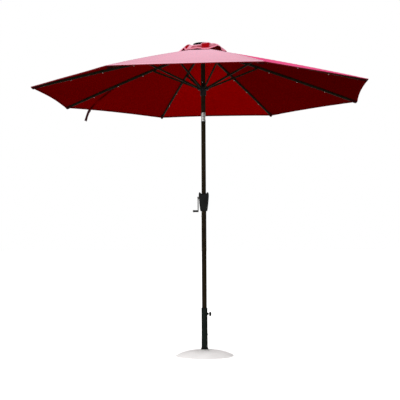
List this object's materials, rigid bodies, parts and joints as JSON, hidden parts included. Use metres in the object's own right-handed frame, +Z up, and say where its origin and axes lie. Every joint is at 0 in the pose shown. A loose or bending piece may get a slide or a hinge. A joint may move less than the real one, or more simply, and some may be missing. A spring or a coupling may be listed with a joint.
{
  "type": "patio umbrella with base",
  "caption": "Crank-lift market umbrella with octagonal vented canopy, rib lamps, tilt joint, two-part pole and round weighted base.",
  "frame": {"origin": "centre of the base on the floor, under the pole", "axes": "+Z up along the pole; +X towards the clamp knob; -X towards the crank handle; -Y towards the viewer of the crank side view"},
  "size_m": [2.4944, 2.4944, 2.4685],
  "materials": {
    "cast_stone": "matt cast stone",
    "grey_trim": "satin grey",
    "black_coat": "black powder coat",
    "bronze_coat": "dark bronze powder coat",
    "coated_alloy": "dark bronze powder coat over aluminium",
    "black_plastic": "satin moulded plastic",
    "zinc_steel": "zinc plated",
    "bare_alloy": "bare cast alloy",
    "red_cloth": "woven polyester",
    "strap_cloth": "woven polyester strap",
    "lift_cord": "braided cord",
    "solar_glass": "clear cover over dark solar cells"
  },
  "bodies": {
    "base": {"base_weight": "cast_stone", "base_ring": "grey_trim", "foot_collar": "black_plastic", "base_tube": "black_coat", "tube_plug": "zinc_steel", "base_bolt": "zinc_steel", "tube_bushing": "black_plastic", "guide_sleeve": "black_plastic", "tube_rivet": "black_coat", "clamp_boss": "black_coat"},
    "clamp_stem": {"clamp_stem": "zinc_steel"},
    "clamp_knob": {"clamp_knob": "black_plastic"},
    "pole_foot": {"pole_foot_plug": "black_plastic"},
    "pole": {"lower_pole": "bronze_coat", "middle_pole": "bronze_coat", "crank_housing_front": "black_plastic", "crank_housing_rear": "black_plastic", "housing_screw_1": "zinc_steel", "housing_screw_2": "zinc_steel", "shaft_bush": "zinc_steel", "tilt_fork": "bare_alloy", "tilt_pin": "zinc_steel"},
    "snap_button": {"snap_button": "black_plastic"},
    "crank": {"crank_shaft": "zinc_steel", "crank_spool": "black_plastic", "brake_spring": "zinc_steel", "crank_arm": "bronze_coat", "crank_screw": "zinc_steel", "grip_pin": "zinc_steel"},
    "crank_grip": {"crank_grip": "black_plastic"},
    "tilt_button": {"tilt_button": "black_plastic"},
    "upper_pole": {"upper_pole": "bronze_coat", "tilt_clevis": "bare_alloy", "stop_rivet": "zinc_steel", "top_hub": "black_plastic", "pulley_pin": "zinc_steel", "solar_housing": "black_plastic", "solar_panel": "solar_glass", "canopy": "red_cloth", "vent_cap": "red_cloth", "tie_strap": "strap_cloth", "lift_cord": "lift_cord"},
    "pulley": {"pulley": "black_plastic"},
    "runner": {"runner": "black_plastic"},
    "rib_1": {"rib_1": "bronze_coat"},
    "strut_1": {"strut_1": "coated_alloy"},
    "rib_2": {"rib_2": "bronze_coat"},
    "strut_2": {"strut_2": "coated_alloy"},
    "rib_3": {"rib_3": "bronze_coat"},
    "strut_3": {"strut_3": "coated_alloy"},
    "rib_4": {"rib_4": "bronze_coat"},
    "strut_4": {"strut_4": "coated_alloy"},
    "rib_5": {"rib_5": "bronze_coat"},
    "strut_5": {"strut_5": "coated_alloy"},
    "rib_6": {"rib_6": "bronze_coat"},
    "strut_6": {"strut_6": "coated_alloy"},
    "rib_7": {"rib_7": "bronze_coat"},
    "strut_7": {"strut_7": "coated_alloy"},
    "rib_8": {"rib_8": "bronze_coat"},
    "strut_8": {"strut_8": "coated_alloy"}
  },
  "joints": [
    {"name": "clamp_feed", "type": "slide", "parent": "base", "child": "clamp_stem", "axis": [1, 0, 0], "range_m": [0, 0.00375]},
    {"name": "clamp_turn", "type": "hinge", "parent": "clamp_stem", "child": "clamp_knob", "pos_m": [0.045, 0, 0.329], "axis": [1, 0, 0], "range_deg": [0, 1080]},
    {"name": "pole_lift", "type": "slide", "parent": "base", "child": "pole_foot", "axis": [0, 0, 1], "range_m": [0, 0.34]},
    {"name": "pole_swivel", "type": "hinge", "parent": "pole_foot", "child": "pole", "pos_m": [0, 0, 0.0303], "axis": [0, 0, 1], "continuous": true},
    {"name": "snap_button_press", "type": "slide", "parent": "pole", "child": "snap_button", "axis": [1, 0, 0], "range_m": [0, 0.004], "stiffness_N_per_m": 600, "springref_m": -0.002},
    {"name": "crank_turn", "type": "hinge", "parent": "pole", "child": "crank", "pos_m": [-0.0455, 0, 1.24], "axis": [-1, 0, 0], "range_deg": [0, 2880]},
    {"name": "grip_spin", "type": "hinge", "parent": "crank", "child": "crank_grip", "pos_m": [-0.07, 0, 1.135], "axis": [-1, 0, 0], "continuous": true},
    {"name": "tilt_button_press", "type": "slide", "parent": "pole", "child": "tilt_button", "axis": [-1, 0, 0], "range_m": [0, 0.004], "stiffness_N_per_m": 600, "springref_m": -0.002},
    {"name": "canopy_tilt", "type": "hinge", "parent": "pole", "child": "upper_pole", "pos_m": [0, 0, 1.88], "axis": [0, 1, 0], "range_deg": [0, 30]},
    {"name": "canopy_fold", "type": "slide", "parent": "upper_pole", "child": "runner", "axis": [0, 0, 1], "range_m": [-0.58169, 0], "deforming": ["canopy", "vent_cap", "tie_strap", "lift_cord"]},
    {"name": "pulley_turn", "type": "hinge", "parent": "upper_pole", "child": "pulley", "pos_m": [0, 0.0115, 2.411], "axis": [1, 0, 0], "range_deg": [-3600, 3600]},
    {"name": "rib_1_fold", "type": "hinge", "parent": "upper_pole", "child": "rib_1", "pos_m": [0.03049, 0.01263, 2.40842], "axis": [-0.3827, 0.9239, 0], "range_deg": [0, 69.5]},
    {"name": "strut_1_fold", "type": "hinge", "parent": "rib_1", "child": "strut_1", "pos_m": [0.4139, 0.17144, 2.28539], "axis": [-0.3827, 0.9239, 0], "range_deg": [-132.52, 0]},
    {"name": "rib_2_fold", "type": "hinge", "parent": "upper_pole", "child": "rib_2", "pos_m": [0.01263, 0.03049, 2.40842], "axis": [-0.9239, 0.3827, 0], "range_deg": [0, 69.5]},
    {"name": "strut_2_fold", "type": "hinge", "parent": "rib_2", "child": "strut_2", "pos_m": [0.17144, 0.4139, 2.28539], "axis": [-0.9239, 0.3827, 0], "range_deg": [-132.52, 0]},
    {"name": "rib_3_fold", "type": "hinge", "parent": "upper_pole", "child": "rib_3", "pos_m": [-0.01263, 0.03049, 2.40842], "axis": [-0.9239, -0.3827, 0], "range_deg": [0, 69.5]},
    {"name": "strut_3_fold", "type": "hinge", "parent": "rib_3", "child": "strut_3", "pos_m": [-0.17144, 0.4139, 2.28539], "axis": [-0.9239, -0.3827, 0], "range_deg": [-132.52, 0]},
    {"name": "rib_4_fold", "type": "hinge", "parent": "upper_pole", "child": "rib_4", "pos_m": [-0.03049, 0.01263, 2.40842], "axis": [-0.3827, -0.9239, 0], "range_deg": [0, 69.5]},
    {"name": "strut_4_fold", "type": "hinge", "parent": "rib_4", "child": "strut_4", "pos_m": [-0.4139, 0.17144, 2.28539], "axis": [-0.3827, -0.9239, 0], "range_deg": [-132.52, 0]},
    {"name": "rib_5_fold", "type": "hinge", "parent": "upper_pole", "child": "rib_5", "pos_m": [-0.03049, -0.01263, 2.40842], "axis": [0.3827, -0.9239, 0], "range_deg": [0, 69.5]},
    {"name": "strut_5_fold", "type": "hinge", "parent": "rib_5", "child": "strut_5", "pos_m": [-0.4139, -0.17144, 2.28539], "axis": [0.3827, -0.9239, 0], "range_deg": [-132.52, 0]},
    {"name": "rib_6_fold", "type": "hinge", "parent": "upper_pole", "child": "rib_6", "pos_m": [-0.01263, -0.03049, 2.40842], "axis": [0.9239, -0.3827, 0], "range_deg": [0, 69.5]},
    {"name": "strut_6_fold", "type": "hinge", "parent": "rib_6", "child": "strut_6", "pos_m": [-0.17144, -0.4139, 2.28539], "axis": [0.9239, -0.3827, 0], "range_deg": [-132.52, 0]},
    {"name": "rib_7_fold", "type": "hinge", "parent": "upper_pole", "child": "rib_7", "pos_m": [0.01263, -0.03049, 2.40842], "axis": [0.9239, 0.3827, 0], "range_deg": [0, 69.5]},
    {"name": "strut_7_fold", "type": "hinge", "parent": "rib_7", "child": "strut_7", "pos_m": [0.17144, -0.4139, 2.28539], "axis": [0.9239, 0.3827, 0], "range_deg": [-132.52, 0]},
    {"name": "rib_8_fold", "type": "hinge", "parent": "upper_pole", "child": "rib_8", "pos_m": [0.03049, -0.01263, 2.40842], "axis": [0.3827, 0.9239, 0], "range_deg": [0, 69.5]},
    {"name": "strut_8_fold", "type": "hinge", "parent": "rib_8", "child": "strut_8", "pos_m": [0.4139, -0.17144, 2.28539], "axis": [0.3827, 0.9239, 0], "range_deg": [-132.52, 0]}
  ],
  "couplings": [
    {"joint": "clamp_feed", "follows": "clamp_turn", "m_per_rad": 0.00019894},
    {"joint": "crank_turn", "follows": "canopy_fold", "rad_per_m": -86.413},
    {"joint": "pulley_turn", "follows": "canopy_fold", "rad_per_m": 105.26},
    {"joint": "rib_1_fold", "follows": "canopy_fold", "rad_per_m": -2.0849},
    {"joint": "strut_1_fold", "follows": "canopy_fold", "rad_per_m": 3.9758},
    {"joint": "rib_2_fold", "follows": "canopy_fold", "rad_per_m": -2.0849},
    {"joint": "strut_2_fold", "follows": "canopy_fold", "rad_per_m": 3.9758},
    {"joint": "rib_3_fold", "follows": "canopy_fold", "rad_per_m": -2.0849},
    {"joint": "strut_3_fold", "follows": "canopy_fold", "rad_per_m": 3.9758},
    {"joint": "rib_4_fold", "follows": "canopy_fold", "rad_per_m": -2.0849},
    {"joint": "strut_4_fold", "follows": "canopy_fold", "rad_per_m": 3.9758},
    {"joint": "rib_5_fold", "follows": "canopy_fold", "rad_per_m": -2.0849},
    {"joint": "strut_5_fold", "follows": "canopy_fold", "rad_per_m": 3.9758},
    {"joint": "rib_6_fold", "follows": "canopy_fold", "rad_per_m": -2.0849},
    {"joint": "strut_6_fold", "follows": "canopy_fold", "rad_per_m": 3.9758},
    {"joint": "rib_7_fold", "follows": "canopy_fold", "rad_per_m": -2.0849},
    {"joint": "strut_7_fold", "follows": "canopy_fold", "rad_per_m": 3.9758},
    {"joint": "rib_8_fold", "follows": "canopy_fold", "rad_per_m": -2.0849},
    {"joint": "strut_8_fold", "follows": "canopy_fold", "rad_per_m": 3.9758}
  ]
}
